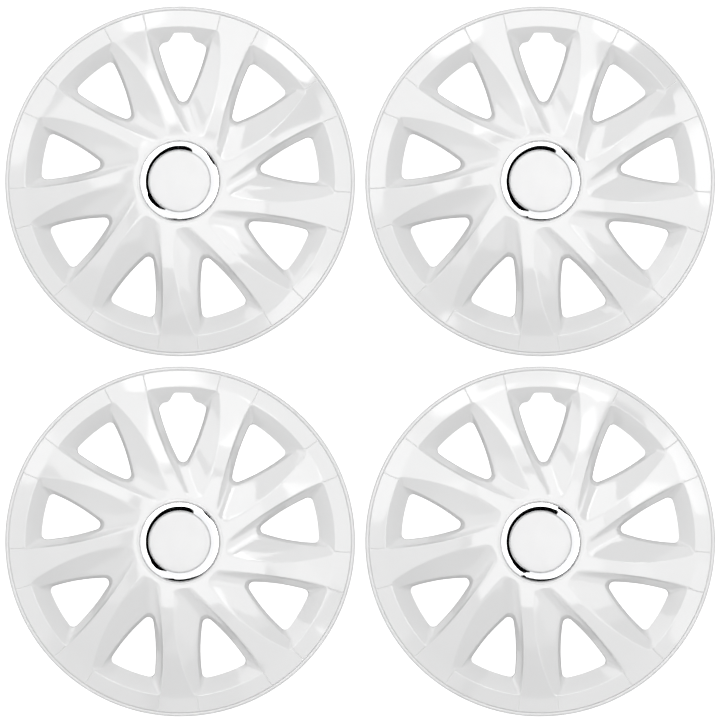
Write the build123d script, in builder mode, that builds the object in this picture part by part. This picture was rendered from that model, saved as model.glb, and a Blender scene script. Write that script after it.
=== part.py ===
"""Set of four nine-spoke wheel covers, 410 mm across, for 15 inch wheels.

Each cover is a moulded dish shell with a plated trim ring, a plug-in centre cap,
a sprung retaining wire and nine hinged retaining clips.  Units mm, +Z up (the
visible face looks up, the clip tips stand on z = 0).
"""
import os
from math import atan, cos, degrees, pi, radians, sin, sqrt

from build123d import *

os.makedirs("parts", exist_ok=True)

# ---- driving dimensions ----------------------------------------------------
OD = 410.0                 # outside diameter of one cover
R = OD / 2
PITCH = 422.0              # spacing of the four covers on the floor
N = 9                      # spokes, windows and clips
STEP = 360.0 / N
VALVE = -1.0               # turn of the valve window from the +Y axis, degrees
CLIP_REACH = 22.0          # clip length behind the lip
Z0 = CLIP_REACH            # height of the lip back face above the floor

WALL = 2.4                 # shell thickness
LIP_W = 0.022 * R          # width of the lip bead
LIP_H = 6.5
R_BAND = R - LIP_W         # outer edge of the flat band
R_BREAK = 0.886 * R        # inner edge of the band, top of the recess
Z_BAND = 6.9
Z_BREAK = 9.0
R_HUB = 0.26 * R           # spokes run into the hub here
Z_HUB = 25.0
TILT = 0.145               # slope of the window planes towards the rim
A_RIM = 22.6               # window rim level on the axis
H_EDGE = 8.0               # height of the upright window edge
H_CREASE = 13.2            # height of the spoke creases over the window rim

Z_SEAT = 23.5              # hub seat of the trim ring and the cap
R_SEAT = 47.2
RING_RO, RING_RI = 46.7, 35.8
CAP_R = 35.3
BORE_R = 29.6
PEGS = 3

WIRE_D = 3.5
WIRE_R = 180.0             # mean radius of the retaining wire
WIRE_Z = -13.5
BEND_R = 184.8             # wire radius at the valve bend

PIV_R = 184.0              # clip hinge
PIV_Z = 0.4
BEAD_R = 2.5
BORE_SOCKET = 2.6
CLIP_W = 18.0
NOSE_R = 187.2

PHI = degrees(atan(TILT))


def tilted(a):
    """Plane z = a - TILT * y, u along +X."""
    return Plane(origin=(0, 0, a), x_dir=(1, 0, 0), z_dir=(0, TILT, 1))


def side(a):
    """Upright plane through the axis at angle a from +X: u outward, v up."""
    c, s = cos(radians(a)), sin(radians(a))
    return Plane(origin=(0, 0, 0), x_dir=(c, s, 0), z_dir=(s, -c, 0))


def pl(x, y):
    """Plan position (fractions of R) on a tilted plane."""
    return (x * R, y * R / cos(radians(PHI)))


def mix(p, q, s):
    return tuple(a + s * (b - a) for a, b in zip(p, q))


# Window outlines in plan, as fractions of R, window axis along +Y.
# Order: outer left corner, outer middle, outer right corner, right middle, inner tip, left middle,
# then the corner radii (left, right, tip) in mm.
RIM = [(-0.141, 0.780), (0, 0.793), (0.132, 0.782), (0.084, 0.6033), (0.005, 0.436), (-0.0817, 0.6022)]
RIM_F = (6.2, 6.2, 6.3)
CREASE = [(-0.211, 0.858), (0, 0.884), (0.2085, 0.859), (0.2020, 0.5192), (0.0900, 0.1969), (-0.0903, 0.5141)]
CREASE_F = (5.0, 6.0, 12.3)
# The upright edge stands close to the rim line on the facet side and lies in the wall elsewhere.
SHARE = H_EDGE / H_CREASE
EDGE = [mix(RIM[0], CREASE[0], SHARE), mix(RIM[1], CREASE[1], SHARE), (0.163, 0.834), (0.0985, 0.596),
        (0.0135, 0.4130), mix(RIM[5], CREASE[5], SHARE)]
EDGE_F = (5.6, 3.5, 8.0)


def grow(pts, d):
    """Move an outline outward by d mm (away from the window centre)."""
    cx = sum(p[0] for p in pts) / 6
    cy = sum(p[1] for p in pts) / 6
    out = []
    for k, (x, y) in enumerate(pts):
        # sides step square off their chord, corners step along the bisector
        if k % 2:
            a, b = pts[k - 1], pts[(k + 1) % 6]
            tx, ty = b[0] - a[0], b[1] - a[1]
            n = sqrt(tx * tx + ty * ty)
            nx, ny = ty / n, -tx / n
            if nx * (x - cx) + ny * (y - cy) < 0:
                nx, ny = -nx, -ny
            out.append((x + nx * d / R, y + ny * d / R))
        else:
            a, b = pts[k - 1], pts[(k + 1) % 6]
            e1 = (a[0] - x, a[1] - y)
            e2 = (b[0] - x, b[1] - y)
            l1, l2 = sqrt(e1[0] ** 2 + e1[1] ** 2), sqrt(e2[0] ** 2 + e2[1] ** 2)
            bx, by = e1[0] / l1 + e2[0] / l2, e1[1] / l1 + e2[1] / l2
            lb = sqrt(bx * bx + by * by)
            half = (e1[0] * bx + e1[1] * by) / (l1 * lb)
            s = sqrt(max(1 - half * half, 1e-6))
            out.append((x - bx / lb * d / s / R, y - by / lb * d / s / R))
    return out


def pocket_face(pts, radii, a):
    """Six-edge rounded triangle at plan position pts on the tilted plane z = a - TILT * y."""
    p = [pl(*q) for q in pts]
    with BuildSketch(tilted(a)) as sk:
        with BuildLine():
            ThreePointArc(p[0], p[1], p[2])
            ThreePointArc(p[2], p[3], p[4])
            ThreePointArc(p[4], p[5], p[0])
        make_face()
        for k, rad in zip((0, 2, 4), radii):
            fillet(sk.vertices().sort_by_distance(Vertex(*p[k], 0))[0], rad)
    return sk.sketch.faces()[0]


def stretched(p0, p1, s):
    return [mix(a, b, s) for a, b in zip(p0, p1)]


def pocket(d, drop):
    """The cut above one window: upright edge part and flared part."""
    rim, edge, crease = grow(RIM, d), grow(EDGE, d), grow(CREASE, d)
    fr = tuple(f + d for f in RIM_F)
    fe = tuple(f + d for f in EDGE_F)
    fc = tuple(f + d for f in CREASE_F)
    a0 = A_RIM - drop
    low, top = -1.2, 1.45
    mid = pocket_face(edge, fe, a0 + H_EDGE)
    with BuildPart() as upper:
        loft(sections=[mid, pocket_face(stretched(edge, crease, top), mix(fe, fc, top),
                                        a0 + H_EDGE + top * (H_CREASE - H_EDGE))], ruled=True)
    with BuildPart() as lower:
        loft(sections=[pocket_face(stretched(edge, rim, 1 - low), mix(fe, fr, 1 - low), a0 + low * H_EDGE), mid],
             ruled=True)
    return upper.part, lower.part


def place(cover, part, extra=0.0):
    """Put a part drawn round the cover axis on its place in the set."""
    cx, cy = CENTRES[cover]
    return Pos(cx, cy, Z0) * Rot(0, 0, VALVE + extra) * part


CENTRES = [(-PITCH / 2, PITCH / 2), (PITCH / 2, PITCH / 2), (-PITCH / 2, -PITCH / 2), (PITCH / 2, -PITCH / 2)]

# ---- cover shell -------------------------------------------------------------
R_MID = (R_HUB + R_BREAK) / 2


def dome_z(r):
    """Spoke crown line: 0.03 slope at the hub, falling away to the band."""
    t = r - R_HUB
    k = (Z_HUB - Z_BREAK - 0.03 * (R_BREAK - R_HUB)) / (R_BREAK - R_HUB) ** 2
    return Z_HUB - 0.03 * t - k * t * t


with BuildPart() as outer:
    with BuildSketch(Plane.XZ):
        with BuildLine():
            Polyline((0, -12), (R_BREAK + 3, -12), (R_BREAK + 3, 0), (R, 0), (R, LIP_H - 1.6))
            ThreePointArc((R, LIP_H - 1.6), (R - 0.5, LIP_H - 0.45), (R - 1.7, LIP_H))
            Polyline((R - 1.7, LIP_H), (R_BAND + 0.7, LIP_H), (R_BAND, Z_BAND - 0.5), (R_BAND - 0.5, Z_BAND),
                     (R_BREAK, Z_BREAK))
            ThreePointArc((R_BREAK, Z_BREAK), (R_MID, dome_z(R_MID)), (R_HUB, Z_HUB))
            Polyline((R_HUB, Z_HUB), (R_SEAT + 0.6, Z_HUB + 0.15), (R_SEAT, Z_HUB - 0.35), (R_SEAT, Z_SEAT), (0, Z_SEAT),
                     (0, -12))
        make_face()
    revolve(axis=Axis.Z)
    up, lo = pocket(0, 0)
    for k in range(N):
        for body in (up, lo):
            add(Rot(0, 0, k * STEP) * body, mode=Mode.SUBTRACT)

with BuildPart() as inner:
    with BuildSketch(Plane.XZ):
        with BuildLine():
            Polyline((0, -20), (R - 2.3, -20), (R - 2.3, LIP_H - WALL - 0.4), (R_BREAK, Z_BREAK - WALL - 0.1))
            ThreePointArc((R_BREAK, Z_BREAK - WALL - 0.1), (R_MID, dome_z(R_MID) - WALL - 0.1),
                          (R_HUB, Z_HUB - WALL - 0.1))
            Polyline((R_HUB, Z_HUB - WALL - 0.1), (R_SEAT + 2.4, Z_SEAT - WALL), (0, Z_SEAT - WALL), (0, -20))
        make_face()
    revolve(axis=Axis.Z)
    up, lo = pocket(2.2, 1.2)
    for k in range(N):
        for body in (up, lo):
            add(Rot(0, 0, k * STEP) * body, mode=Mode.SUBTRACT)

with BuildPart() as shell:
    add(outer.part)
    add(inner.part, mode=Mode.SUBTRACT)
    # everything under the window rim level goes
    with BuildSketch(Plane.XZ):
        with BuildLine():
            Polyline((0, -40), (R_BREAK + 4, -40), (R_BREAK + 4, A_RIM - TILT * (R_BREAK + 4)), (0, A_RIM), (0, -40))
        make_face()
    revolve(axis=Axis.Z, mode=Mode.SUBTRACT)

# angles of the clips, measured from the valve window axis
CLIP_TURNS = [STEP / 2 + k * STEP for k in range(N)]

with BuildPart() as shell_full:
    add(shell.part)
    # crown shaped notch for the tyre valve at the head of the first window
    with BuildSketch(Plane.XY.offset(-14)):
        with BuildLine():
            Polyline(*[(x * R, y * R) for x, y in
                       [(-0.132, 0.766), (-0.110, 0.787), (-0.082, 0.797), (-0.062, 0.824), (-0.040, 0.846),
                        (0.034, 0.846), (0.055, 0.811), (0.077, 0.793), (0.106, 0.785), (0.122, 0.766), (0, 0.70)]],
                     close=True)
        make_face()
    extrude(amount=24, mode=Mode.SUBTRACT)
    # hub collar, its ribs, the bore for the cap and the holes for the trim ring pegs
    with BuildSketch(Plane.XY.offset(15.0)):
        Circle(BORE_R + 2.2)
    extrude(amount=Z_SEAT - 1 - 15.0)
    for k in range(N):
        with BuildSketch(side(90 + CLIP_TURNS[k])):
            with BuildLine():
                Polyline((BORE_R + 1, 16.5), (46, 19.2), (51.5, 20.6), (51.5, 22.2), (BORE_R + 1, 22.2), close=True)
            make_face()
        extrude(amount=0.9, both=True)
    with Locations((0, 0, 20)):
        Cylinder(BORE_R, 20, mode=Mode.SUBTRACT)
    with PolarLocations((RING_RO + RING_RI) / 2, PEGS, start_angle=50):
        with Locations((0, 0, Z_SEAT)):
            Cylinder(1.6, 12, mode=Mode.SUBTRACT)
    for turn in CLIP_TURNS:
        # C socket of the clip under the band
        with BuildSketch(side(90 + turn)):
            with Locations((PIV_R, PIV_Z)):
                Circle(4.4)
            with BuildLine():
                Polyline((PIV_R - 3.9, PIV_Z), (PIV_R + 3.9, PIV_Z), (PIV_R + 3.9, 6.9), (PIV_R - 3.9, 7.4), close=True)
            make_face()
        extrude(amount=CLIP_W / 2 + 1.3, both=True)
        with BuildSketch(side(90 + turn)):
            with Locations((PIV_R, PIV_Z)):
                Circle(BORE_SOCKET)
            with Locations((PIV_R - 0.1, PIV_Z - 4)):
                Rectangle(4.2, 8)
        extrude(amount=CLIP_W / 2 + 0.1, both=True, mode=Mode.SUBTRACT)
        # gussets between band and lip on both sides of the socket
        for off in (-4.6, 4.6):
            with BuildSketch(side(90 + turn + off)):
                with BuildLine():
                    Polyline((188.5, 4.6), (191.5, 0.8), (R - 1.8, 0.8), (R - 1.8, 4.6), (188.5, 6.6), close=True)
                make_face()
            extrude(amount=0.9, both=True)
    # plain gussets behind the windows
    for k in range(N):
        for off in (-6.5, 6.5):
            with BuildSketch(side(90 + k * STEP + off)):
                with BuildLine():
                    Polyline((188.5, 4.6), (191.5, 0.8), (R - 1.8, 0.8), (R - 1.8, 4.6), (188.5, 6.6), close=True)
                make_face()
            extrude(amount=0.9, both=True)
print("shell", round(shell_full.part.volume), len(shell_full.solids()), shell_full.part.is_valid)

# ---- chrome trim ring ----------------------------------------------------------
with BuildPart() as ring:
    with BuildSketch(Plane.XZ):
        with BuildLine():
            Line((RING_RI, Z_SEAT), (RING_RO, Z_SEAT))
            Line((RING_RO, Z_SEAT), (RING_RO, Z_SEAT + 1.6))
            ThreePointArc((RING_RO, Z_SEAT + 1.6), (44.6, Z_SEAT + 3.35), (41.6, Z_SEAT + 4.0))
            ThreePointArc((41.6, Z_SEAT + 4.0), (38.3, Z_SEAT + 3.6), (RING_RI + 0.5, Z_SEAT + 2.6))
            Line((RING_RI + 0.5, Z_SEAT + 2.6), (RING_RI, Z_SEAT + 2.1))
            Line((RING_RI, Z_SEAT + 2.1), (RING_RI, Z_SEAT))
        make_face()
    revolve(axis=Axis.Z)
    with PolarLocations((RING_RO + RING_RI) / 2, PEGS, start_angle=50):
        with Locations((0, 0, Z_SEAT - WALL - 1.4)):
            Cylinder(1.5, WALL + 2.0, align=(Align.CENTER, Align.CENTER, Align.MIN))
            Cylinder(2.5, 1.4, align=(Align.CENTER, Align.CENTER, Align.MIN))

# ---- centre cap ------------------------------------------------------------------
with BuildPart() as cap:
    with BuildSketch(Plane.XZ):
        with BuildLine():
            Polyline((0, Z_SEAT), (CAP_R, Z_SEAT), (CAP_R, Z_SEAT + 1.6), (CAP_R - 0.6, Z_SEAT + 2.2), (0, Z_SEAT + 2.2),
                     close=True)
        make_face()
    revolve(axis=Axis.Z)
    with BuildSketch(Plane.XY.offset(Z_SEAT + 0.5)):
        Circle(BORE_R - 0.2)
        Circle(BORE_R - 1.9, mode=Mode.SUBTRACT)
    extrude(amount=-9.5)
    with BuildSketch(Plane.XY.offset(14.0)):
        for k in range(3):
            Rectangle(80, 3, rotation=60 * k)
    extrude(amount=7.0, mode=Mode.SUBTRACT)

# ---- retaining wire ----------------------------------------------------------------
# One long arc, closed by an outward bend of three tangent arcs that clears the tyre valve.
BEND = 12.0                # half angle of the valve bend, degrees
BEND_IN = 25.0             # radius of the reversed arcs at the foot of the bend
foot = Vector(sin(radians(BEND)), cos(radians(BEND)), 0)
c1 = foot * (WIRE_R + BEND_IN)
gap = c1.Y - BEND_R
BEND_OUT = (c1.X ** 2 + gap ** 2 - BEND_IN ** 2) / (2 * (BEND_IN - gap))
c2 = Vector(0, BEND_R - BEND_OUT, 0)
p_foot = foot * WIRE_R
to_c2 = (c2 - c1).normalized()
p_join = c1 + to_c2 * BEND_IN
p_mid = c1 + (to_c2 - foot).normalized() * BEND_IN


def flip(v):
    """Mirror of a wire point across the valve window axis, on the wire's level."""
    return Vector(-v.X, v.Y, WIRE_Z)


def level(v):
    return Vector(v.X, v.Y, WIRE_Z)


with BuildPart() as wire:
    with BuildLine() as path:
        ThreePointArc(level(p_foot), (0, -WIRE_R, WIRE_Z), flip(p_foot))
        ThreePointArc(flip(p_foot), flip(p_mid), flip(p_join))
        ThreePointArc(flip(p_join), (0, BEND_R, WIRE_Z), level(p_join))
        ThreePointArc(level(p_join), level(p_mid), level(p_foot))
    with BuildSketch(side(90 - BEND)):
        with Locations((WIRE_R, WIRE_Z)):
            Circle(WIRE_D / 2)
    sweep(path=path.line)
run = sum(e.length for e in path.line.edges())
print("wire bend radii", BEND_IN, round(BEND_OUT, 1), "length", round(run, 1), "volume", round(wire.part.volume, 1),
      "section x length", round(pi * WIRE_D ** 2 / 4 * run, 1))

# ---- retaining clip, radial direction along +X ------------------------------------------
with BuildPart() as clip:
    with BuildSketch(Plane.XZ):
        with Locations((PIV_R, PIV_Z)):
            Circle(BEAD_R)
        with BuildLine():
            Polyline((182.9, PIV_Z), (185.1, PIV_Z), (185.1, -8.5), (NOSE_R, -12.0), (NOSE_R, -13.6), (184.6, -CLIP_REACH),
                     (183.5, -CLIP_REACH), (182.6, -18.0), (175.6, -18.0), (175.6, -13.5), (177.1, -13.5),
                     (177.1, -16.1), (182.9, -16.1), (182.9, PIV_Z), close=False)
        make_face()
    extrude(amount=CLIP_W / 2, both=True)
print("ring", ring.part.is_valid, len(ring.solids()), "cap", cap.part.is_valid, len(cap.solids()), "wire",
      wire.part.is_valid, len(wire.solids()), "clip", clip.part.is_valid, len(clip.solids()))

# ---- the set of four -------------------------------------------------------------------
def export(part, name):
    part.label = name
    export_step(part, f"parts/{name}.step")


for c in range(4):
    tag = f"cover_{c + 1}"
    export(place(c, shell_full.part), f"{tag}_shell")
    export(place(c, ring.part), f"{tag}_trim_ring")
    export(place(c, cap.part), f"{tag}_centre_cap")
    export(place(c, wire.part), f"{tag}_retaining_wire")
    for k, turn in enumerate(CLIP_TURNS):
        export(place(c, clip.part, 90 + turn), f"{tag}_clip_{k + 1}")
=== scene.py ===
import math

import bmesh
import bpy
import numpy as np
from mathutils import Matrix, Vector
from mathutils.bvhtree import BVHTree


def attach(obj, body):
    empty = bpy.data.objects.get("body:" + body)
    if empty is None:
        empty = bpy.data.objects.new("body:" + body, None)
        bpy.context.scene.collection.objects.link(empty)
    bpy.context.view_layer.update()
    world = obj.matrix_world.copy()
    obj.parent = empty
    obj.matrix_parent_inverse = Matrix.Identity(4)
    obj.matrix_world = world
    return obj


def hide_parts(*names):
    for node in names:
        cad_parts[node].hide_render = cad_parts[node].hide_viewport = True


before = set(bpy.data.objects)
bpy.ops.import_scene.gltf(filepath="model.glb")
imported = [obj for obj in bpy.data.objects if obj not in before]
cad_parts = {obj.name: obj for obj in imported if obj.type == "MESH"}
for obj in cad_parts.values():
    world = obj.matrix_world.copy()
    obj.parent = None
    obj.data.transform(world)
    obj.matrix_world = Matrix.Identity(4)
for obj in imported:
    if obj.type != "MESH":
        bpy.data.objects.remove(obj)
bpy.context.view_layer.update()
scene = bpy.context.scene

# ------------------------------------------------------------------ dimensions, mm
R = 205.0                      # cover radius
PITCH = 422.0                  # between the middles of neighbouring covers
Z0 = 22.0                      # lip back face above the floor
VALVE = -1.0                   # turn of the valve window from +Y, degrees
SECTORS = 9
STEP = 40.0                    # turn from one sector to the next, degrees
CENTRES = [(-PITCH / 2, PITCH / 2), (PITCH / 2, PITCH / 2), (-PITCH / 2, -PITCH / 2), (PITCH / 2, -PITCH / 2)]
THICK = 2.3                    # wall of the shell
RIM_WALL = 2.1                 # wall round a window
R_LIP = 0.978 * R              # band meets lip
R_BREAK = 0.886 * R            # dome meets band
R_HUB = 0.26 * R               # dome meets hub
Z_BAND, Z_BREAK, Z_HUB = 6.9, 9.0, 25.0
# window planes: slope, height on the axis, and how far the edge and the crease stand above the rim
TILT, A_RIM, H_EDGE, H_CREASE = 0.145, 22.6, 8.0, 13.2
Z_SEAT, R_SEAT, BORE = 23.5, 47.2, 29.6
MM = 0.001


def shade(me, smooth_angle, weld):
    """Welds a mesh, turns its faces outwards, and keeps edges over smooth_angle degrees sharp."""
    bm = bmesh.new()
    bm.from_mesh(me)
    bmesh.ops.remove_doubles(bm, verts=bm.verts, dist=weld)
    bmesh.ops.recalc_face_normals(bm, faces=bm.faces)
    lim = math.radians(smooth_angle)
    for f in bm.faces:
        f.smooth = True
    for e in bm.edges:
        if len(e.link_faces) == 2 and e.calc_face_angle(0) > lim:
            e.smooth = False
    bm.to_mesh(me)
    bm.free()


# ------------------------------------------------------------------ curves in plan
def arc3(a, m, b, n=200):
    """Points of the circle arc from a through m to b."""
    a, m, b = (np.array(p, float) for p in (a, m, b))
    ax, ay = a
    d = 2 * (ax * (m[1] - b[1]) + m[0] * (b[1] - ay) + b[0] * (ay - m[1]))
    ux = ((a @ a) * (m[1] - b[1]) + (m @ m) * (b[1] - ay) + (b @ b) * (ay - m[1])) / d
    uy = ((a @ a) * (b[0] - m[0]) + (m @ m) * (ax - b[0]) + (b @ b) * (m[0] - ax)) / d
    c = np.array([ux, uy])
    t0, tm, t1 = (math.atan2(*(p - c)[::-1]) for p in (a, m, b))
    two = 2 * math.pi
    if (t1 - t0) % two >= (tm - t0) % two:
        sweep = (t1 - t0) % two
    else:
        sweep = (t1 - t0) % two - two
    t = t0 + sweep * np.linspace(0, 1, n)
    return c + np.linalg.norm(a - c) * np.stack([np.cos(t), np.sin(t)], 1)


def length_of(p):
    return np.concatenate([[0], np.cumsum(np.linalg.norm(np.diff(p, axis=0), axis=1))])


def at(p, s):
    """Points of polyline p at fractions s of its length."""
    L = length_of(p)
    s = np.asarray(s) * L[-1]
    return np.stack([np.interp(s, L, p[:, k]) for k in range(p.shape[1])], -1)


def corner(p, q, rad, n=40):
    """Rounds the corner where curve p ends and q starts. Returns p, round, q."""
    tp = p[-1] - p[-12]
    tq = q[11] - q[0]
    tp, tq = tp / np.linalg.norm(tp), tq / np.linalg.norm(tq)
    turn = math.acos(max(-1, min(1, tp @ tq)))
    d = rad * math.tan(turn / 2)
    Lp, Lq = length_of(p), length_of(q)
    fp, fq = 1 - d / Lp[-1], d / Lq[-1]
    p2 = at(p, np.linspace(0, fp, 200))
    q2 = at(q, np.linspace(fq, 1, 200))
    ta = p2[-1] - p2[-4]
    tb = q2[3] - q2[0]
    ta, tb = ta / np.linalg.norm(ta), tb / np.linalg.norm(tb)
    h = 4 / 3 * math.tan(turn / 4) * rad
    b0, b1, b2, b3 = p2[-1], p2[-1] + ta * h, q2[0] - tb * h, q2[0]
    t = np.linspace(0, 1, n)[:, None]
    rnd = (1 - t) ** 3 * b0 + 3 * (1 - t) ** 2 * t * b1 + 3 * (1 - t) * t * t * b2 + t ** 3 * b3
    return p2, rnd, q2


def mix(p, q, s):
    return tuple(a + s * (b - a) for a, b in zip(p, q))


# Outlines as fractions of R, window axis up: outer left corner, outer middle, outer right corner,
# right middle, inner tip, left middle; then the corner radii (left, right, tip) in mm.
RIM = [(-0.141, 0.780), (0, 0.793), (0.132, 0.782), (0.084, 0.6033), (0.005, 0.436), (-0.0817, 0.6022)]
RIM_F = (6.2, 6.2, 6.3)
CREASE = [(-0.211, 0.860), (0, 0.886), (0.2085, 0.861), (0.2020, 0.5192), (0.0900, 0.1969), (-0.0903, 0.5141)]
CREASE_F = (4.0, 5.0, 12.3)
SHARE = H_EDGE / H_CREASE
EDGE = [mix(RIM[0], CREASE[0], SHARE), mix(RIM[1], CREASE[1], SHARE), (0.163, 0.836), (0.0985, 0.596),
        (0.0135, 0.4130), mix(RIM[5], CREASE[5], SHARE)]
EDGE_F = (5.0, 2.5, 8.0)

# points along the outer arc, a shoulder, a side and the tip of every loop
N_OUT, N_SH, N_SIDE, N_TIP = 60, 7, 36, 14
SHOULDER = 0.10                # share of a side that belongs to the shoulder

# angles of the two engraved lines of a sector, degrees clockwise from the window axis
LEFT_LINE, RIGHT_LINE = -13.5, 12.7
GROOVE_DEPTH, GROOVE_HALF = 0.55, 0.24       # mm, and degrees either side of the line
GROOVE = [-0.5, -GROOVE_HALF, -0.12, 0.0, 0.12, GROOVE_HALF, 0.5]
COLUMNS = np.concatenate([LEFT_LINE + np.array(GROOVE),
                          np.linspace(LEFT_LINE + 0.5, RIGHT_LINE - 0.5, N_OUT - 11)[1:-1],
                          RIGHT_LINE + np.array(GROOVE)])
R_B = 0.897 * R                # outer and inner radius of a sector
R_BI = 0.262 * R


def loop(pts, radii):
    """Closed outline sampled between its landmarks, N points clockwise from the outer left corner."""
    P = np.array(pts) * R
    o = arc3(P[0], P[1], P[2])
    r = arc3(P[2], P[3], P[4])
    l = arc3(P[4], P[5], P[0])
    l1, cl, o1 = corner(l, o, radii[0])
    o2, cr, r1 = corner(o1, r, radii[1])
    r2, ct, l2 = corner(r1, l1, radii[2])
    hl, hr = len(cl) // 2, len(cr) // 2
    outer = np.concatenate([cl[hl:], o2[1:-1], cr[:hr + 1]])
    right = np.concatenate([cr[hr:], r2[1:]])
    tip = ct
    left = np.concatenate([l2[:-1], cl[:hl + 1]])
    u = (COLUMNS - COLUMNS[0]) / (COLUMNS[-1] - COLUMNS[0])
    s = np.linspace(0, 1, N_SIDE + 1)
    parts = [at(outer, u)[:-1],
             at(right, SHOULDER * np.linspace(0, 1, N_SH + 1))[:-1],
             at(right, SHOULDER + (1 - SHOULDER) * s)[:-1],
             at(tip, np.linspace(0, 1, N_TIP + 1))[:-1],
             at(left, (1 - SHOULDER) * s)[:-1],
             at(left, 1 - SHOULDER + SHOULDER * np.linspace(0, 1, N_SH + 1))[:-1]]
    return np.concatenate(parts)


def polar(r, deg_cw):
    a = np.radians(deg_cw)
    return np.stack([r * np.sin(a), r * np.cos(a)], -1)


def lean(r):
    """Clockwise angle of the line between two sectors, which follows the middle of a spoke."""
    return STEP / 2 + 14.5 * np.clip((0.897 - r / R) / 0.597, 0, None) ** 1.75


def boundary():
    side_r = R_B + (R_BI - R_B) * np.linspace(0, 1, N_SIDE + 1)
    sh = np.linspace(0, 1, N_SH + 1)
    end = lean(R_BI)
    parts = [polar(R_B, COLUMNS)[:-1],
             polar(R_B, COLUMNS[-1] + (STEP / 2 - COLUMNS[-1]) * sh)[:-1],
             polar(side_r, lean(side_r))[:-1],
             polar(R_BI, end - STEP * np.linspace(0, 1, N_TIP + 1))[:-1],
             polar(side_r[::-1], lean(side_r[::-1]) - STEP)[:-1],
             polar(R_B, -STEP / 2 + (COLUMNS[0] + STEP / 2) * sh)[:-1]]
    return np.concatenate(parts)


# ------------------------------------------------------------------ heights
def step01(x, a, b):
    t = np.clip((x - a) / (b - a), 0, 1)
    return t * t * (3 - 2 * t)


def crown_z(r):
    t = r - R_HUB
    span = R_BREAK - R_HUB
    k = (Z_HUB - Z_BREAK - 0.03 * span) / span ** 2
    dome = np.where(t > 0, Z_HUB - 0.03 * t - k * t * t, Z_HUB - 0.03 * t)
    band = Z_BREAK - (r - R_BREAK) * (Z_BREAK - Z_BAND) / (R_LIP - R_BREAK)
    return np.where(r < 0.6 * R, dome, 0.5 * (dome + band + np.sqrt((dome - band) ** 2 + 0.06)))


def top_z(p):
    """Height of the visible surface outside the pockets, at plan points p."""
    r = np.linalg.norm(p, axis=-1)
    a = np.degrees(np.arctan2(p[..., 0], p[..., 1]))
    a = (a + STEP / 2) % STEP - STEP / 2
    line = np.maximum(1 - np.abs(a - LEFT_LINE) / GROOVE_HALF, 1 - np.abs(a - RIGHT_LINE) / GROOVE_HALF)
    fade = step01(r, 0.880 * R, 0.888 * R) * (1 - step01(r, 0.970 * R, 0.976 * R))
    return crown_z(r) - GROOVE_DEPTH * np.clip(line, 0, 1) * fade


def rim_z(p, h=0.0):
    return A_RIM + h - TILT * p[..., 1]


w2, e2, t2, b2 = loop(RIM, RIM_F), loop(EDGE, EDGE_F), loop(CREASE, CREASE_F), boundary()
M = len(w2)
W = np.column_stack([w2, rim_z(w2)])
E = np.column_stack([e2, rim_z(e2, H_EDGE)])
T = np.column_stack([t2, top_z(t2)])
B = np.column_stack([b2, top_z(b2)])

# rounding of the crease, mm along both faces, for every ray
ray = np.ones(M)
i0 = N_OUT + N_SH
s = np.linspace(0, 1, N_SIDE)
ray[i0:i0 + N_SIDE] = 0.9 + 4.0 * s ** 3
ray[i0 + N_SIDE:i0 + N_SIDE + N_TIP] = 5.0 + 9.0 * np.sin(np.linspace(0, math.pi, N_TIP))
ray[i0 + N_SIDE + N_TIP:i0 + 2 * N_SIDE + N_TIP] = 0.9 + 4.1 * (1 - s) ** 4


def unit(v):
    return v / np.linalg.norm(v, axis=-1, keepdims=True)


def bezier(a, c, b, n):
    t = np.linspace(0, 1, n)[:, None, None]
    return (1 - t) ** 2 * a + 2 * (1 - t) * t * c + t * t * b


# moulded land round the window: an upright 3 mm edge where the wall itself leans, faded along the rays
LAND_OUT, LAND_UP = 0.75, 2.8
LAND = np.interp(np.arange(M), [0, 0.25 * N_OUT, i0 + N_SIDE + N_TIP, i0 + N_SIDE + N_TIP + 4, M],
                 [1, 0, 0, 1, 1])[:, None]
EDGE_ROUND = 0.7               # rounding of the window edge along both faces


def along(P):
    """Unit tangents of a closed loop of points."""
    return unit(np.roll(P, -1, 0) - np.roll(P, 1, 0))


def plan_out(P):
    """Horizontal unit vectors pointing out of a closed clockwise outline."""
    t = along(P)
    return unit(np.column_stack([-t[:, 1], t[:, 0], np.zeros(len(P))]))


def sector(W, E, T, B):
    """Rings of points from the window rim out to the sector boundary."""
    rings = [W]
    a0 = E - unit(E - W) * np.minimum(EDGE_ROUND, 0.45 * np.linalg.norm(E - W, axis=1)[:, None])
    a1 = E + unit(T - E) * EDGE_ROUND
    land = W + plan_out(W) * LAND_OUT + [0, 0, LAND_UP]
    rings += [W + (a0 - W) * 0.5 * (1 - LAND) + (land - W) * LAND]
    rings += list(bezier(a0, E, a1, 4))
    d = ray[:, None]
    dt = np.minimum(d, 0.4 * np.linalg.norm(T - E, axis=1)[:, None])
    db = np.minimum(d, 0.45 * np.linalg.norm(B - T, axis=1)[:, None])
    c0 = T - unit(T - E) * dt
    out2 = unit(B[:, :2] - T[:, :2])
    c1 = np.column_stack([T[:, :2] + out2 * db, np.zeros(M)])
    c1[:, 2] = top_z(c1[:, :2])
    for f in (0.12, 0.3, 0.5, 0.7, 0.88):
        rings.append(a1 + (c0 - a1) * f)
    rings += list(bezier(c0, T, c1, 6))
    for f in (0.1, 0.25, 0.42, 0.6, 0.8, 1.0):
        p = c1[:, :2] + (B[:, :2] - c1[:, :2]) * f
        rings.append(np.column_stack([p, top_z(p)]))
    return np.array(rings)


verts, faces = [], []


def add_grid(P, closed=True):
    """Adds the grid of points P[j][i], whose i runs round when it is closed."""
    n, m = P.shape[:2]
    base = sum(len(v) for v in verts)
    verts.append(P.reshape(-1, 3))
    for j in range(n - 1):
        for i in range(m if closed else m - 1):
            a, b = base + j * m + i, base + j * m + (i + 1) % m
            faces.append((a, b, b + m, a + m))


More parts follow.
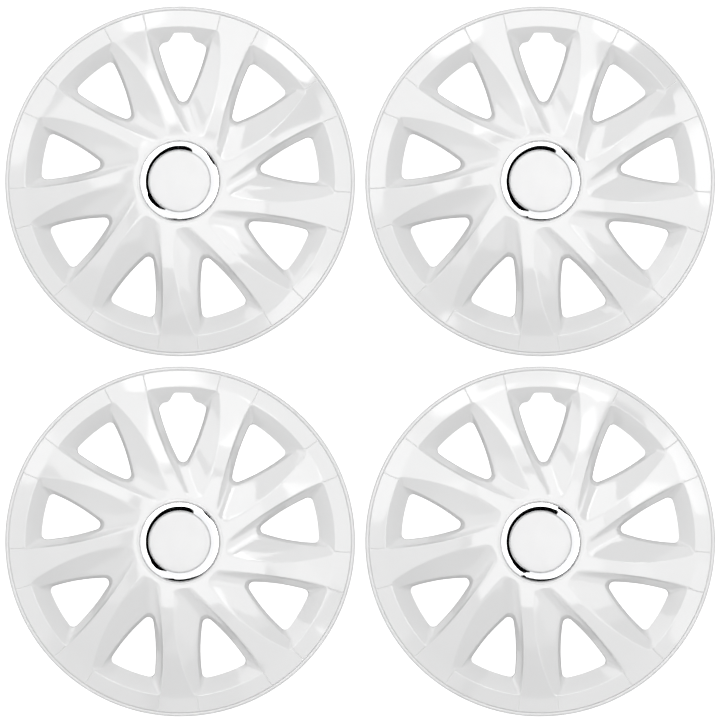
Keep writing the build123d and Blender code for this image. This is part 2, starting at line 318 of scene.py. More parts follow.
def turned(P, deg):
    c, s = math.cos(math.radians(deg)), math.sin(math.radians(deg))
    Q = P.copy()
    Q[..., 0] = c * P[..., 0] - s * P[..., 1]
    Q[..., 1] = s * P[..., 0] + c * P[..., 1]
    return Q


# ------------------------------------------------------------------ underside
def slope(r):
    return (crown_z(r + 0.05) - crown_z(r - 0.05)) / 0.1


def under_z(p):
    r = np.linalg.norm(p, axis=-1)
    return crown_z(r) - THICK * np.sqrt(1 + slope(r) ** 2)


def drop(P):
    """Offsets points of the domed surface square to it."""
    r = np.linalg.norm(P[..., :2], axis=-1)
    g = slope(r)
    k = THICK / np.sqrt(1 + g * g)
    Q = P.copy()
    Q[..., :2] += (P[..., :2] / r[..., None]) * (g * k)[..., None]
    Q[..., 2] = crown_z(r) - k
    return Q


def face_normal(P, Q):
    """Upward unit normals of the strip between loops P and Q."""
    t = along(0.5 * (P + Q))
    n = unit(np.cross(t, Q - P))
    return n * np.where(n[:, 2:] < 0, -1, 1)


def mitre(P, n1, n2, t):
    k = np.maximum(1 + np.sum(n1 * n2, axis=1, keepdims=True), 0.6)
    return P - (n1 + n2) * t / k


def underside(W, E, T, B):
    """Rings of the back of one sector, from the bottom of the window rim to the sector boundary."""
    n1, n2, n3 = face_normal(W, E), face_normal(E, T), face_normal(T, B)
    Bb = drop(B)
    Tb = mitre(T, n2, n3, THICK)
    Eb = mitre(E, n1, n2, THICK)
    o = plan_out(W)
    Wb = W + o * RIM_WALL
    # keep the back of the rim outside the window edge where the wall stands steep
    gap = np.sum((Eb - W) * o, axis=1, keepdims=True)
    Eb = Eb + o * np.maximum(2.0 - gap, 0)
    low = W - [0, 0, 0.35]
    rings = [low - [0, 0, 0.25] + o * 0.25, Wb - [0, 0, 0.6], Wb - [0, 0, 0.45] + o * 0.15]
    de = np.minimum(1.2, 0.4 * np.linalg.norm(Tb - Eb, axis=1))[:, None]
    start = Eb + unit(rings[-1] - Eb) * np.minimum(de, 0.5)
    rings += list(bezier(start, Eb, Eb + unit(Tb - Eb) * de, 3))
    out2 = unit(Bb[:, :2] - Tb[:, :2])
    dt = np.minimum(1.5, 0.3 * np.linalg.norm(Tb - Eb, axis=1))[:, None]
    db = np.minimum(1.5, 0.3 * np.linalg.norm(Bb - Tb, axis=1))[:, None]
    c0 = Tb + unit(Eb - Tb) * dt
    c1 = np.column_stack([Tb[:, :2] + out2 * db, np.zeros(M)])
    c1[:, 2] = under_z(c1[:, :2])
    rings.append(0.5 * (rings[-1] + c0))
    rings += list(bezier(c0, Tb, c1, 4))
    for f in (0.3, 0.6):
        p = c1[:, :2] + (Bb[:, :2] - c1[:, :2]) * f
        rings.append(np.column_stack([p, under_z(p)]))
    rings.append(Bb)
    return low, np.array(rings)


def tree_of(P):
    n, m = P.shape[:2]
    f = []
    for j in range(n - 1):
        for i in range(m):
            a, b = j * m + i, j * m + (i + 1) % m
            f.append((a, b, b + m, a + m))
    return BVHTree.FromPolygons([Vector(p) for p in P.reshape(-1, 3)], f)


def lay(tree, p, spare):
    """Heights of a surface at plan points p, or the spare heights beside it."""
    out = []
    for (x, y), z in zip(p, spare):
        hit = tree.ray_cast(Vector((x, y, 60)), Vector((0, 0, -1)))
        out.append(hit[0].z if hit[0] is not None else z)
    return np.array(out)


# Head of the valve window, as fractions of R: a crown with room for the valve and the air line chuck.
CROWN = [(-0.112, 0.7895), (-0.098, 0.7925), (-0.087, 0.7950), (-0.0775, 0.8020), (-0.0660, 0.8195),
         (-0.0545, 0.8400), (-0.0455, 0.8480), (-0.030, 0.8497), (-0.005, 0.8503), (0.020, 0.8500),
         (0.0365, 0.8485), (0.0465, 0.8430), (0.0570, 0.8255), (0.0675, 0.8075), (0.0805, 0.7985),
         (0.095, 0.7945), (0.1075, 0.7905)]
WIDER, LOWER = 0.008 * R, 0.010 * R          # how much further this window reaches right and inwards
TOP_RINGS, BACK_RINGS = 11, 6                # rings of each face that follow the crown


def valve_sector(W, E, T, B):
    """The first sector: a slightly wider window with the crown at its head."""
    n = np.arange(M)
    i1, i2, i3 = N_OUT, N_OUT + N_SH + N_SIDE, N_OUT + N_SH + N_SIDE + N_TIP
    right = np.interp(n, [0, i1, i2, i3, i3 + 0.4 * N_SIDE], [0, 1, 0.8, 0.3, 0])
    down = np.interp(n, [i1 + 0.6 * N_SIDE, i2, i3, i3 + 0.5 * N_SIDE], [0, 1, 1, 0])
    move = np.column_stack([WIDER * right, -LOWER * down])
    W, E = W.copy(), E.copy()
    W[:, :2] += move
    E[:, :2] += move
    W[:, 2], E[:, 2] = rim_z(W), rim_z(E, H_EDGE)
    A = sector(W, E, T, B)
    low, U = underside(W, E, T, B)
    ta, tu = tree_of(A), tree_of(U)
    ends = np.array([W[0, :2], *[(x * R, y * R) for x, y in CROWN], W[N_OUT, :2]])
    crown = at(np.array(curve_profile(ends, 8)), (COLUMNS - COLUMNS[0]) / (COLUMNS[-1] - COLUMNS[0]))
    cols = np.arange(N_OUT + 1)
    # upper face: columns run from the crown to the crease
    base = A[:, cols]
    t = np.linalg.norm(base[:TOP_RINGS + 1, :, :2] - base[0, :, :2], axis=-1)
    t = t / t[-1]
    for j in range(TOP_RINGS):
        p = crown + (base[TOP_RINGS, :, :2] - crown) * t[j][:, None]
        A[j, cols, :2] = p
        A[j, cols, 2] = lay(ta, p, base[j, :, 2])
    # lower face, square cut under the crown
    c = step01(cols / N_OUT, 0, 0.10) * step01(1 - cols / N_OUT, 0, 0.10)
    tan = unit(np.gradient(crown, axis=0))
    o = np.column_stack([-tan[:, 1], tan[:, 0]])
    p0 = crown + o * RIM_WALL * (1 - c)[:, None]
    base = U[:, cols].copy()
    t = np.linalg.norm(base[:BACK_RINGS + 1, :, :2] - base[0, :, :2], axis=-1)
    t = t / t[-1]
    for j in range(BACK_RINGS):
        p = p0 + (base[BACK_RINGS, :, :2] - p0) * t[j][:, None]
        z = lay(tu, p, base[j, :, 2])
        k = c[:, None]
        U[j, cols] = base[j] * (1 - k) + np.column_stack([p, z]) * k
    low[cols, :2] = crown
    low[cols, 2] = A[0, cols, 2] - 0.35
    return A, low, U


def curve_profile(points, n):
    """Smooth Catmull-Rom run through the points."""
    P = np.array([points[0]] + list(points) + [points[-1]], float)
    out = []
    for k in range(1, len(P) - 2):
        p0, p1, p2, p3 = P[k - 1:k + 3]
        for t in np.linspace(0, 1, n, endpoint=False):
            out.append(0.5 * (2 * p1 + (p2 - p0) * t + (2 * p0 - 5 * p1 + 4 * p2 - p3) * t * t
                              + (3 * p1 - p0 - 3 * p2 + p3) * t ** 3))
    out.append(P[-1])
    return [tuple(p) for p in out]


S0 = sector(W, E, T, B)
L0, U0 = underside(W, E, T, B)
for k in range(SECTORS):
    A, low, U = (S0, L0, U0) if k else valve_sector(W, E, T, B)
    add_grid(turned(A, STEP * k))
    add_grid(turned(np.array([A[0], low, *U]), STEP * k))

# band, lip and hub as profiles turned about the axis on the sector's own columns
shoulder = np.linspace(0, 1, N_SH + 1)
cols_out = np.concatenate([-STEP / 2 + (COLUMNS[0] + STEP / 2) * shoulder[:-1], COLUMNS,
                           (COLUMNS[-1] + (STEP / 2 - COLUMNS[-1]) * shoulder)[1:]])
band_r = np.concatenate([np.linspace(R_B, 0.962 * R, 7), [0.967 * R, 0.972 * R, R_LIP - 0.5]])
under_b = drop(np.array([[R_B, 0.0, 0.0]]))[0]
# lip: groove inside it, bead with a fine line near its edge, outer edge, back face, then in under the band
lip = [(R_LIP - 0.25, 6.6), (R_LIP - 0.05, 5.7), (R_LIP + 0.15, 5.25), (R_LIP + 0.4, 5.4),
       (R_LIP + 0.62, 5.95), (R_LIP + 0.95, 6.3), (R_LIP + 1.5, 6.5), (R - 2.2, 6.5), (R - 1.75, 6.38),
       (R - 1.62, 6.15), (R - 1.5, 6.1), (R - 1.3, 6.15), (R - 0.8, 5.75), (R - 0.35, 5.2), (R - 0.08, 4.4),
       (R, 3.6), (R, 2.0), (R, 0.35), (R - 0.12, 0.1), (R - 0.4, 0.0), (R - 1.2, 0.0), (R - 1.9, 0.0),
       (R - 2.2, 0.1), (R - 2.3, 0.35), (R - 2.3, 2.2), (R - 2.45, 3.1), (R - 3.1, 3.7), (196.0, 4.75),
       (190.0, 5.55)]
rows = [np.column_stack([polar(r, cols_out), top_z(polar(r, cols_out))]) for r in band_r]
rows += [np.column_stack([polar(r, cols_out), np.full(len(cols_out), z)]) for r, z in lip]
rows.append(np.column_stack([polar(under_b[0], cols_out), np.full(len(cols_out), under_b[2])]))
G = np.array(rows)
for k in range(SECTORS):
    add_grid(turned(G, STEP * k), closed=False)

hub_cols = lean(R_BI) - STEP * np.linspace(0, 1, N_TIP + 1)
under_h = drop(np.array([[R_BI, 0.0, 0.0]]))[0]
C_OUT = BORE + 2.2             # outside of the hub collar
Z_SLOT = Z_SEAT - 1.0          # floor of the grooves round the trim ring and the cap
Z_COLLAR, Z_UNDER = 15.0, 21.1
# hub: fillet into the seat, groove, seat of the ring, groove, seat of the cap, bore, collar, underside
hub = [(R_BI, None), (50.8, None), (50.3, 25.02), (49.9, 24.93), (49.5, 25.05), (48.6, 25.12), (47.9, 25.12),
       (47.5, 24.98), (R_SEAT, 24.6), (R_SEAT, 23.9), (R_SEAT, Z_SLOT), (46.5, Z_SLOT), (46.4, Z_SEAT),
       (40.0, Z_SEAT), (36.1, Z_SEAT), (36.0, Z_SLOT), (35.2, Z_SLOT), (35.1, Z_SEAT), (32.0, Z_SEAT),
       (BORE + 0.3, Z_SEAT), (BORE, Z_SEAT - 0.3), (BORE, 21.0), (BORE, Z_COLLAR + 0.3),
       (BORE + 0.25, Z_COLLAR), (C_OUT - 0.3, Z_COLLAR), (C_OUT, Z_COLLAR + 0.3), (C_OUT, 20.3),
       (C_OUT + 0.25, 20.85), (C_OUT + 0.8, Z_UNDER), (36.0, Z_UNDER), (43.0, Z_UNDER), (49.2, Z_UNDER),
       (50.2, 21.3), (51.4, 22.0)]
rows = []
for r, z in hub:
    p = polar(r, hub_cols)
    rows.append(np.column_stack([p, top_z(p) if z is None else np.full(len(p), z)]))
rows.append(np.column_stack([polar(under_h[0], hub_cols), np.full(len(hub_cols), under_h[2])]))
G = np.array(rows)
for k in range(SECTORS):
    add_grid(turned(G, STEP * k), closed=False)


# ------------------------------------------------------------------ small moulded solids
def bevelled(bm, width, segments, angle=25):
    edges = [e for e in bm.edges if len(e.link_faces) == 2 and math.degrees(e.calc_face_angle(0)) > angle]
    bmesh.ops.bevel(bm, geom=edges, offset=width, segments=segments, affect="EDGES", profile=0.6,
                    clamp_overlap=True)


def extruded(outline, half, bevel=0.0, segments=1, shift=0.0):
    """Solid from an (r, z) outline, spread +-half along the tangent. Radius runs along +X."""
    bm = bmesh.new()
    lo = [bm.verts.new((r, shift - half, z)) for r, z in outline]
    hi = [bm.verts.new((r, shift + half, z)) for r, z in outline]
    n = len(outline)
    bm.faces.new(lo)
    bm.faces.new(hi[::-1])
    for i in range(n):
        bm.faces.new((lo[i], lo[(i + 1) % n], hi[(i + 1) % n], hi[i]))
    bmesh.ops.recalc_face_normals(bm, faces=bm.faces)
    if bevel:
        bevelled(bm, bevel, segments)
    bm.verts.index_update()
    V = np.array([v.co[:] for v in bm.verts])
    F = [tuple(v.index for v in f.verts) for f in bm.faces]
    bm.free()
    return V, F


def arc_points(cx, cz, r, a0, a1, n):
    return [(cx + r * math.cos(math.radians(a)), cz + r * math.sin(math.radians(a)))
            for a in np.linspace(a0, a1, n)]


def add_solid(V, F):
    base = sum(len(v) for v in verts)
    verts.append(V)
    faces.extend(tuple(i + base for i in f) for f in F)


# clip sockets: a C round the bead of each clip, with a cheek at both ends
PIV_R, PIV_Z, BEAD = 184.0, 0.4, 2.5         # middle and radius of the bead
SOCKET_IN, SOCKET_OUT, SLOT = 2.6, 4.4, 2.1  # radii of the C, and half its opening
SOCKET_HALF, CHEEK_HALF = 9.14, 0.6
slot_out = math.degrees(math.asin(SLOT / SOCKET_OUT))
slot_in = math.degrees(math.asin(SLOT / SOCKET_IN))
root = [(PIV_R + 3.9, 2.4), (PIV_R + 3.9, 6.9), (PIV_R - 3.9, 7.4), (PIV_R - 3.9, 2.4)]
socket = (arc_points(PIV_R, PIV_Z, SOCKET_OUT, -90 + slot_out, -25, 8) + root
          + arc_points(PIV_R, PIV_Z, SOCKET_OUT, 205, 270 - slot_out, 8)
          + arc_points(PIV_R, PIV_Z, SOCKET_IN, 270 - slot_in, -90 + slot_in, 22))
cheek = arc_points(PIV_R, PIV_Z, SOCKET_OUT, -155, -25, 18) + root
gusset = [(188.5, 4.6), (191.5, 0.8), (203.2, 0.8), (203.2, 4.6), (188.5, 6.6)]
rib = [(30.9, 16.5), (46.0, 19.2), (51.5, 20.6), (51.5, 22.0), (30.9, 22.0)]
TURNS = [STEP / 2 + STEP * k for k in range(SECTORS)]
socket_solid = extruded(socket, SOCKET_HALF)
cheek_solids = [extruded(cheek, CHEEK_HALF, 0.2, 1, side * 9.7) for side in (-1, 1)]
gusset_solid = extruded(gusset, 0.9, 0.25, 2)
rib_solid = extruded(rib, 0.9, 0.25, 2)
for k, turn in enumerate(TURNS):
    for V, F in (socket_solid, *cheek_solids, rib_solid):
        add_solid(turned(V, 90 + turn), F)
    V, F = gusset_solid
    for gusset_turn in (turn - 4.6, turn + 4.6, STEP * k - 6.5, STEP * k + 6.5):
        add_solid(turned(V, 90 + gusset_turn), F)

shell_me = bpy.data.meshes.new("cover_shell_skin")
shell_me.from_pydata([tuple(v) for v in np.concatenate(verts) * MM], [], faces)
shade(shell_me, 32, weld=2e-6)


def place(mesh, node, body, n, extra=0.0):
    ob = bpy.data.objects.new(f"{node}_skin", mesh)
    scene.collection.objects.link(ob)
    ob.location = (CENTRES[n][0] * MM, CENTRES[n][1] * MM, Z0 * MM)
    ob.rotation_euler = (0, 0, math.radians(VALVE + extra))
    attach(ob, body)
    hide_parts(node)


for n in range(4):
    place(shell_me, f"cover_{n + 1}_shell", f"cover_{n + 1}", n)

# ------------------------------------------------------------------ trim ring and cap
ring_top = curve_profile([(46.4, 24.9), (46.38, 25.6), (46.3, 26.2), (46.0, 26.65), (45.5, 26.9),
                          (44.4, 27.15), (42.9, 27.36), (41.9, 27.38), (40.7, 27.15), (39.6, 26.8),
                          (38.4, 26.25), (37.3, 25.6), (36.4, 24.9), (36.0, 24.3)], 4)
CAP_R = 35.2


def joined(name, parts, angle):
    """One mesh from several (points, faces) solids, mm."""
    vs, fs, base = [], [], 0
    for V, F in parts:
        vs.append(np.array(V))
        fs.extend(tuple(i + base for i in f) for f in F)
        base += len(V)
    m = bpy.data.meshes.new(name)
    m.from_pydata([tuple(v) for v in np.concatenate(vs) * MM], [], fs)
    shade(m, angle, weld=1e-6)
    return m


def revolved(profile, cols, a0=0.0, a1=360.0):
    """Closed (r, z) profile turned from a0 to a1 degrees, with end faces when it isn't a full turn."""
    full = a1 - a0 >= 360
    n = len(profile)
    v, f = [], []
    steps = cols if full else cols + 1
    for i in range(steps):
        a = math.radians(a0 + (a1 - a0) * i / cols)
        v += [(r * math.cos(a), r * math.sin(a), z) for r, z in profile]
    for i in range(cols):
        k = (i + 1) % steps
        for j in range(n):
            f.append((i * n + j, k * n + j, k * n + (j + 1) % n, i * n + (j + 1) % n))
    if not full:
        f.append(tuple(range(n)))
        f.append(tuple((steps - 1) * n + j for j in range(n))[::-1])
    return v, f


ring_profile = [(36.1, Z_SEAT), (46.3, Z_SEAT), (46.4, Z_SEAT + 0.1)] + ring_top + [(36.0, Z_SEAT + 0.1)]
ring_parts = [revolved(ring_profile, 288)]
PEG_R, PEG_TURN = 41.25, 50.0  # where the three heat-staked pegs of the ring stand
peg = revolved([(1e-4, 19.7), (2.2, 19.7), (2.5, 19.95), (2.5, 20.75), (2.2, 21.05), (1.5, 21.1), (1.5, 23.7),
                (1e-4, 23.7)], 32)
for k in range(3):
    a = math.radians(PEG_TURN + 120 * k)
    x, y = PEG_R * math.cos(a), PEG_R * math.sin(a)
    ring_parts.append(([(p[0] + x, p[1] + y, p[2]) for p in peg[0]], peg[1]))
ring_me = joined("trim_ring", ring_parts, 38)

Z_CAP = Z_SEAT + 2.2           # top of the cap
SKIRT_IN, SKIRT_OUT = 27.7, 29.4
cap_edge = curve_profile([(CAP_R, Z_SEAT + 1.5), (CAP_R - 0.1, Z_SEAT + 1.87), (CAP_R - 0.4, Z_SEAT + 2.12),
                          (CAP_R - 0.85, Z_CAP)], 3)
cap_profile = ([(1e-4, Z_SEAT), (27.9, Z_SEAT), (28.0, 22.4), (29.2, 22.4), (SKIRT_OUT, Z_SEAT),
                (CAP_R - 0.15, Z_SEAT), (CAP_R, Z_SEAT + 0.15)] + cap_edge
               + [(30.0, Z_CAP), (15.0, Z_CAP), (1e-4, Z_CAP)])
skirt_ring = [(SKIRT_IN, 20.9), (SKIRT_OUT, 20.9), (SKIRT_OUT, 22.6), (SKIRT_IN, 22.6)]
skirt = [(27.75, 14.8), (28.1, 14.5), (28.9, 14.5), (29.35, 15.1), (SKIRT_OUT, 16.0), (SKIRT_OUT, 21.0),
         (SKIRT_IN, 21.0), (SKIRT_IN, 15.0)]
SLIT = math.degrees(1.5 / 28.55)             # half a slit of the skirt, 1.5 mm at its middle radius
cap_parts = [revolved(cap_profile, 240), revolved(skirt_ring, 240)]
for k in range(6):
    cap_parts.append(revolved(skirt, 36, 60 * k + SLIT, 60 * k + 60 - SLIT))
cap_me = joined("centre_cap", cap_parts, 35)

# retaining wire: one long arc closed by three tangent arcs
WIRE_R, WIRE_Z, WIRE_D = 180.0, -13.5, 3.5
BEND, BEND_R, BEND_IN = 12.0, 184.8, 25.0    # half width in degrees, reach, radius of the two inner arcs
foot = np.array([math.sin(math.radians(BEND)), math.cos(math.radians(BEND))])
c1 = foot * (WIRE_R + BEND_IN)
gap = c1[1] - BEND_R
BEND_OUT = (c1[0] ** 2 + gap ** 2 - BEND_IN ** 2) / (2 * (BEND_IN - gap))
c2 = np.array([0, BEND_R - BEND_OUT])
join = c1 + (c2 - c1) / np.linalg.norm(c2 - c1) * BEND_IN


def arc_xy(c, p, q, n, clockwise):
    """Points of the arc about c from p up to, and without, q."""
    a = math.atan2(*(p - c)[::-1])
    b = math.atan2(*(q - c)[::-1])
    two = 2 * math.pi
    sweep = (b - a) % two
    if clockwise:
        sweep -= two
    t = a + sweep * np.linspace(0, 1, n, endpoint=False)
    return c + np.linalg.norm(p - c) * np.stack([np.cos(t), np.sin(t)], 1)


mirror = np.array([-1, 1])
line = np.concatenate([arc_xy(np.zeros(2), foot * WIRE_R, foot * WIRE_R * mirror, 360, True),
                       arc_xy(c1 * mirror, foot * WIRE_R * mirror, join * mirror, 10, False),
                       arc_xy(c2, join * mirror, join, 24, True),
                       arc_xy(c1, join, foot * WIRE_R, 10, False)])


def tube(line, z, d, sides=14):
    """Round tube of diameter d along a closed line at height z."""
    t = np.roll(line, -1, 0) - np.roll(line, 1, 0)
    t = t / np.linalg.norm(t, axis=1, keepdims=True)
    nrm = np.column_stack([-t[:, 1], t[:, 0]])
    v, f = [], []
    m = len(line)
    for i in range(m):
        for k in range(sides):
            a = 2 * math.pi * k / sides
            v.append((*(line[i] + nrm[i] * math.cos(a) * d / 2), z + math.sin(a) * d / 2))
    for i in range(m):
        for k in range(sides):
            j, l = (i + 1) % m, (k + 1) % sides
            f.append((i * sides + k, j * sides + k, j * sides + l, i * sides + l))
    return v, f


wire_me = joined("retaining_wire", [tube(line, WIRE_Z, WIRE_D)], 60)

neck = math.degrees(math.asin(1.1 / BEAD))   # the neck of a clip is 2.2 mm thick at its bead
clip_outline = ([(177.1, -16.1), (182.9, -16.1)] + arc_points(PIV_R, PIV_Z, BEAD, 270 - neck, -90 + neck, 24)
                + [(185.1, -8.5), (187.2, -12.0), (187.2, -13.6), (184.6, -22.0), (183.5, -22.0),
                   (182.6, -18.0), (175.6, -18.0), (175.6, -13.5), (177.1, -13.5)])
clip_me = joined("clip", [extruded(clip_outline, 9.0, 0.3, 2)], 30)

for n in range(4):
    c = n + 1
    place(ring_me, f"cover_{c}_trim_ring", f"cover_{c}", n)
    place(cap_me, f"cover_{c}_centre_cap", f"centre_cap_{c}", n)
    place(wire_me, f"cover_{c}_retaining_wire", f"retaining_wire_{c}", n)
    for k, turn in enumerate(TURNS):
        place(clip_me, f"cover_{c}_clip_{k + 1}", f"clip_{c}_{k + 1}", n, 90 + turn)


# ------------------------------------------------------------------ materials
NOISE_LOW, NOISE_HIGH = 0.3, 0.7             # span of a noise that carries its colours or roughness


class Finish:
    """A Principled material whose colour, roughness and height vary by noise in object space."""

    def __init__(self, name, metal=0.0, specular=0.5):
        self.m = bpy.data.materials.new(name)
        self.m.use_nodes = True
        self.t = self.m.node_tree
        self.p = self.t.nodes["Principled BSDF"]
        self.p.inputs["Metallic"].default_value = metal
        self.p.inputs["Specular IOR Level"].default_value = specular
        self.co = self.t.nodes.new("ShaderNodeTexCoord").outputs["Object"]
        self.height = None

    def noise(self, scale, detail=2.0, stretch=None, rough=0.5):
        n = self.t.nodes.new("ShaderNodeTexNoise")
        n.inputs["Scale"].default_value = scale
        n.inputs["Detail"].default_value = detail
        n.inputs["Roughness"].default_value = rough
        src = self.co
        if stretch:
            k = self.t.nodes.new("ShaderNodeMapping")
            k.inputs["Scale"].default_value = stretch
            self.t.links.new(src, k.inputs["Vector"])
            src = k.outputs["Vector"]
        self.t.links.new(src, n.inputs["Vector"])
        return n.outputs["Fac"]

    def colour(self, fac, dark, light):
        r = self.t.nodes.new("ShaderNodeValToRGB")
        first, last = r.color_ramp.elements
        first.position, last.position = NOISE_LOW, NOISE_HIGH
        first.color, last.color = (*dark, 1), (*light, 1)
        self.t.links.new(fac, r.inputs["Fac"])
        self.t.links.new(r.outputs["Color"], self.p.inputs["Base Color"])

    def roughness(self, fac, low, high):
        r = self.t.nodes.new("ShaderNodeMapRange")
        self.t.links.new(fac, r.inputs["Value"])
        for key, v in (("From Min", NOISE_LOW), ("From Max", NOISE_HIGH), ("To Min", low), ("To Max", high)):
            r.inputs[key].default_value = v
        self.t.links.new(r.outputs["Result"], self.p.inputs["Roughness"])

    def bump(self, fac, depth):
        b = self.t.nodes.new("ShaderNodeBump")
        b.inputs["Strength"].default_value = 1.0
        b.inputs["Distance"].default_value = depth
        self.t.links.new(fac, b.inputs["Height"])
        if self.height is not None:
            self.t.links.new(self.height, b.inputs["Normal"])
        self.height = b.outputs["Normal"]
        self.t.links.new(self.height, self.p.inputs["Normal"])


def gloss_white():
    """Injection moulded white ABS: glossy, faint sink and orange peel, a little handling haze."""
    f = Finish("gloss_white_abs")
    f.colour(f.noise(9.0, 3.0), (0.789, 0.790, 0.791), (0.815, 0.816, 0.817))
    f.roughness(f.noise(26.0, 5.0, rough=0.65), 0.03, 0.065)
    f.bump(f.noise(16.0, 1.0), 0.00007)
    f.bump(f.noise(420.0, 1.5), 0.0000035)
    return f.m


def chrome_plate():
    """Bright plating over moulded plastic: slight waviness and cloudy patches."""
    f = Finish("chrome_plate", metal=1.0)
    f.colour(f.noise(60.0, 2.0), (0.86, 0.87, 0.885), (0.91, 0.915, 0.925))
    f.roughness(f.noise(180.0, 4.0, rough=0.6), 0.025, 0.06)
    f.bump(f.noise(70.0, 1.0), 0.00002)
    return f.m


def satin_cap():
    """Painted emblem seat: fine even grain."""
    f = Finish("cap_satin")
    f.colour(f.noise(24.0, 3.0), (0.775, 0.775, 0.78), (0.80, 0.80, 0.80))
    f.roughness(f.noise(60.0, 4.0), 0.30, 0.42)
    f.bump(f.noise(1600.0, 2.0), 0.000012)
    return f.m


def spring_steel():
    """Zinc flashed spring wire with drawing marks and dull patches."""
    f = Finish("spring_steel", metal=1.0)
    f.colour(f.noise(38.0, 5.0, rough=0.7), (0.42, 0.42, 0.43), (0.60, 0.60, 0.61))
    f.roughness(f.noise(90.0, 4.0, rough=0.7), 0.24, 0.46)
    f.bump(f.noise(900.0, 2.0, stretch=(1, 1, 4)), 0.000025)
    return f.m


def clip_nylon():
    """Natural nylon: milky, slightly mottled, dull."""
    f = Finish("clip_nylon", specular=0.4)
    f.colour(f.noise(70.0, 4.0), (0.72, 0.71, 0.665), (0.79, 0.78, 0.745))
    f.roughness(f.noise(240.0, 3.0), 0.38, 0.55)
    f.bump(f.noise(700.0, 3.0), 0.00002)
    return f.m


# word in a node's name, mesh that replaces the node, and its material
FINISHES = [("shell", shell_me, gloss_white()), ("ring", ring_me, chrome_plate()),
            ("cap", cap_me, satin_cap()), ("wire", wire_me, spring_steel()), ("clip", clip_me, clip_nylon())]
for _, mesh, finish in FINISHES:
    mesh.materials.append(finish)
for name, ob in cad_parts.items():
    ob.data.materials.clear()
    ob.data.materials.append(next(finish for word, _, finish in FINISHES if word in name))

# ------------------------------------------------------------------ stage
# The floor is white to the camera, lights the covers as grey paper would, and is clear from below.
FLOOR_HALF = 6.0
floor_me = bpy.data.meshes.new("floor")
corners = [(x * FLOOR_HALF, y * FLOOR_HALF, 0) for x, y in ((-1, -1), (1, -1), (1, 1), (-1, 1))]
floor_me.from_pydata(corners, [], [(0, 1, 2, 3)])
floor = bpy.data.objects.new("floor", floor_me)
scene.collection.objects.link(floor)
paper = Finish("floor_paper")
paper.p.inputs["Base Color"].default_value = (0.3, 0.3, 0.3, 1)
paper.p.inputs["Roughness"].default_value = 0.9
paper.p.inputs["Emission Color"].default_value = (1, 1, 1, 1)
floor_me.materials.append(paper.m)
floor.visible_shadow = False
side = paper.t.nodes.new("ShaderNodeNewGeometry")
clear = paper.t.nodes.new("ShaderNodeBsdfTransparent")
either = paper.t.nodes.new("ShaderNodeMixShader")
seen = paper.t.nodes.new("ShaderNodeLightPath")
paper.t.links.new(seen.outputs["Is Camera Ray"], paper.p.inputs["Emission Strength"])
paper.t.links.new(side.outputs["Backfacing"], either.inputs[0])
paper.t.links.new(paper.p.outputs[0], either.inputs[1])
paper.t.links.new(clear.outputs[0], either.inputs[2])
paper.t.links.new(either.outputs[0], paper.t.nodes["Material Output"].inputs[0])

# ------------------------------------------------------------------ camera, straight above
LENS, SENSOR = 400, 36
WIDTH, Z_FOCUS = 0.8434, 0.03  # width in view, m, and the height at which it is measured
cam = bpy.data.cameras.new("camera")
cam.lens = LENS
cam.sensor_width = SENSOR
cam.clip_end = 50
co = bpy.data.objects.new("camera", cam)
scene.collection.objects.link(co)
dist = WIDTH / 2 / math.tan(math.atan(SENSOR / 2 / LENS))
co.location = (-0.0002, 0.0017, dist + Z_FOCUS)
scene.camera = co

# ------------------------------------------------------------------ light
RIG, LEVEL = 12.0, 1.15              # radius of the rig, m, and the level of every box
CENTRE = Vector((0.42, -0.42, 0.0))  # middle of the rig on the floor


def area_light(name, loc, size, radiance):
    """Square area light at loc, turned to CENTRE, whose face has the given radiance."""
    light = bpy.data.lights.new(name, "AREA")
    light.shape = "RECTANGLE"
    light.size = light.size_y = size
    light.energy = math.pi * size * size * radiance
    o = bpy.data.objects.new(name, light)
    scene.collection.objects.link(o)
    o.location = loc
    o.rotation_euler = (CENTRE - loc).to_track_quat("-Z", "Y").to_euler()
    o.visible_camera = False
    return o


def softbox(name, tilt, azimuth, size, mirrored=0.0, spread=0.0):
    """Soft box on a dome of radius RIG round the covers: tilt from overhead, azimuth from +X.

    mirrored is the radiance its reflection shows, spread the radiance it throws on matt surfaces."""
    t, a = math.radians(tilt), math.radians(azimuth)
    loc = CENTRE + RIG * Vector((math.sin(t) * math.cos(a), math.sin(t) * math.sin(a), math.cos(t)))
    if mirrored:
        area_light(name + "_mirrored", loc, size, mirrored * LEVEL).visible_diffuse = False
    if spread:
        area_light(name + "_spread", loc, size, spread * LEVEL).visible_glossy = False


# A broad window light stands behind the covers, a little to the right: the boxes near overhead
# are brightest towards it and fade out on the far side.
HEAD_MEAN, HEAD_SWING, HEAD_TOWARDS = 1.5, 1.8, 75.0

softbox("overhead", 0, 0, 3.6, 3.3)
for azimuth in range(0, 360, 45):
    glow = HEAD_MEAN + HEAD_SWING * math.cos(math.radians(azimuth - HEAD_TOWARDS))
    if glow > 0:
        softbox(f"head_{azimuth}", 20, azimuth, 3.9, glow)
softbox("head_fill", 20, 45, 3.9, 0.0, 2.0)
softbox("mid_north", 45, 90, 5.4, 0.0, 3.0)
softbox("mid_north_west", 45, 135, 5.4, 1.8)
softbox("mid_south", 45, 270, 5.4, 1.0, 1.5)
# under lights reach the backs of the covers only, through the floor
softbox("under_east", 158, 30, 5.4, 0.0, 6.0)
softbox("under_west", 150, 200, 5.4, 0.0, 3.0)

PATCH_STEPS, PATCH_ROWS = 96, 8


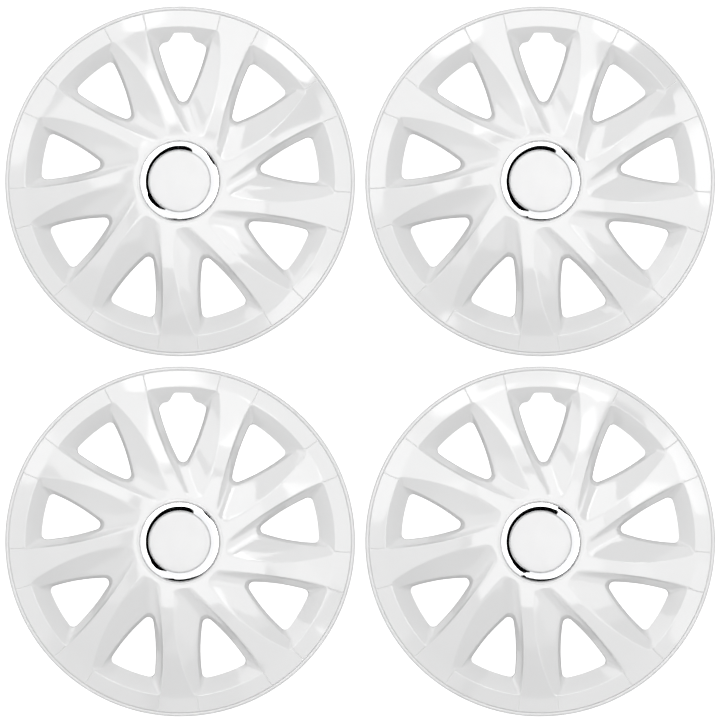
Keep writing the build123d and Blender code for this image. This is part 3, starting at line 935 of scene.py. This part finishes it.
def dome_patch(name, radius, edge, tilt1, az0, az1, emission):
    """Part of a dome round the covers that only mirrors see: a strip light or a dark flag.

    edge lists (azimuth, tilt) of its upper edge, and the patch hangs from there down to tilt1."""
    m = bpy.data.meshes.new(name)
    v, f = [], []
    for i in range(PATCH_STEPS + 1):
        a = math.radians(az0 + (az1 - az0) * i / PATCH_STEPS)
        tilt0 = np.interp(math.degrees(a), *zip(*edge))
        for j in range(PATCH_ROWS + 1):
            t = math.radians(tilt0 + (tilt1 - tilt0) * j / PATCH_ROWS)
            v.append((radius * math.sin(t) * math.cos(a), radius * math.sin(t) * math.sin(a),
                      radius * math.cos(t)))
    row = PATCH_ROWS + 1
    for i in range(PATCH_STEPS):
        for j in range(PATCH_ROWS):
            k = i * row + j
            f.append((k, k + 1, k + row + 1, k + row))
    m.from_pydata(v, [], f)
    o = bpy.data.objects.new(name, m)
    scene.collection.objects.link(o)
    x = Finish(name, specular=0.0)
    x.p.inputs["Base Color"].default_value = (0.0, 0.0, 0.0, 1)
    x.p.inputs["Emission Color"].default_value = (1, 1, 1, 1)
    x.p.inputs["Emission Strength"].default_value = emission
    m.materials.append(x.m)
    o.visible_camera = False
    o.visible_diffuse = False
    o.visible_shadow = False
    o.visible_transmission = False
    o.visible_volume_scatter = False
    o.location = CENTRE


dome_patch("strip_light", 10.5, [(-25, 8.5), (60, 9.5), (112, 11.0)], 15.0, -25, 112, 3.4)
# the flag reaches highest near -116 and 60 degrees, for the wide ends of the dark arc in the rings
dome_patch("dark_flag", 10.8, [(-119, 32), (-116, 9), (-112, 20), (-100, 17), (-84, 17), (-45, 30), (0, 38),
                               (28, 34), (50, 14), (59, 9), (62, 9), (64, 45), (70, 60)], 88, -120, 70, 0.0)

# the backdrop is white to the camera, MIRRORED to mirrors and AMBIENT to everything else
AMBIENT, MIRRORED = 0.69, 1.1
world = bpy.data.worlds.new("world")
scene.world = world
world.use_nodes = True
sky = world.node_tree.nodes["Background"]
sky.inputs[0].default_value = (1, 1, 1, 1)
ray_kind = world.node_tree.nodes.new("ShaderNodeLightPath")
level = world.node_tree.nodes.new("ShaderNodeMapRange")
level.inputs["To Min"].default_value = AMBIENT
level.inputs["To Max"].default_value = MIRRORED
world.node_tree.links.new(ray_kind.outputs["Is Glossy Ray"], level.inputs["Value"])
backdrop = world.node_tree.nodes.new("ShaderNodeMapRange")
backdrop.inputs["To Max"].default_value = 1.0
world.node_tree.links.new(ray_kind.outputs["Is Camera Ray"], backdrop.inputs["Value"])
world.node_tree.links.new(level.outputs["Result"], backdrop.inputs["To Min"])
world.node_tree.links.new(backdrop.outputs["Result"], sky.inputs[1])
scene.view_settings.view_transform = "Standard"
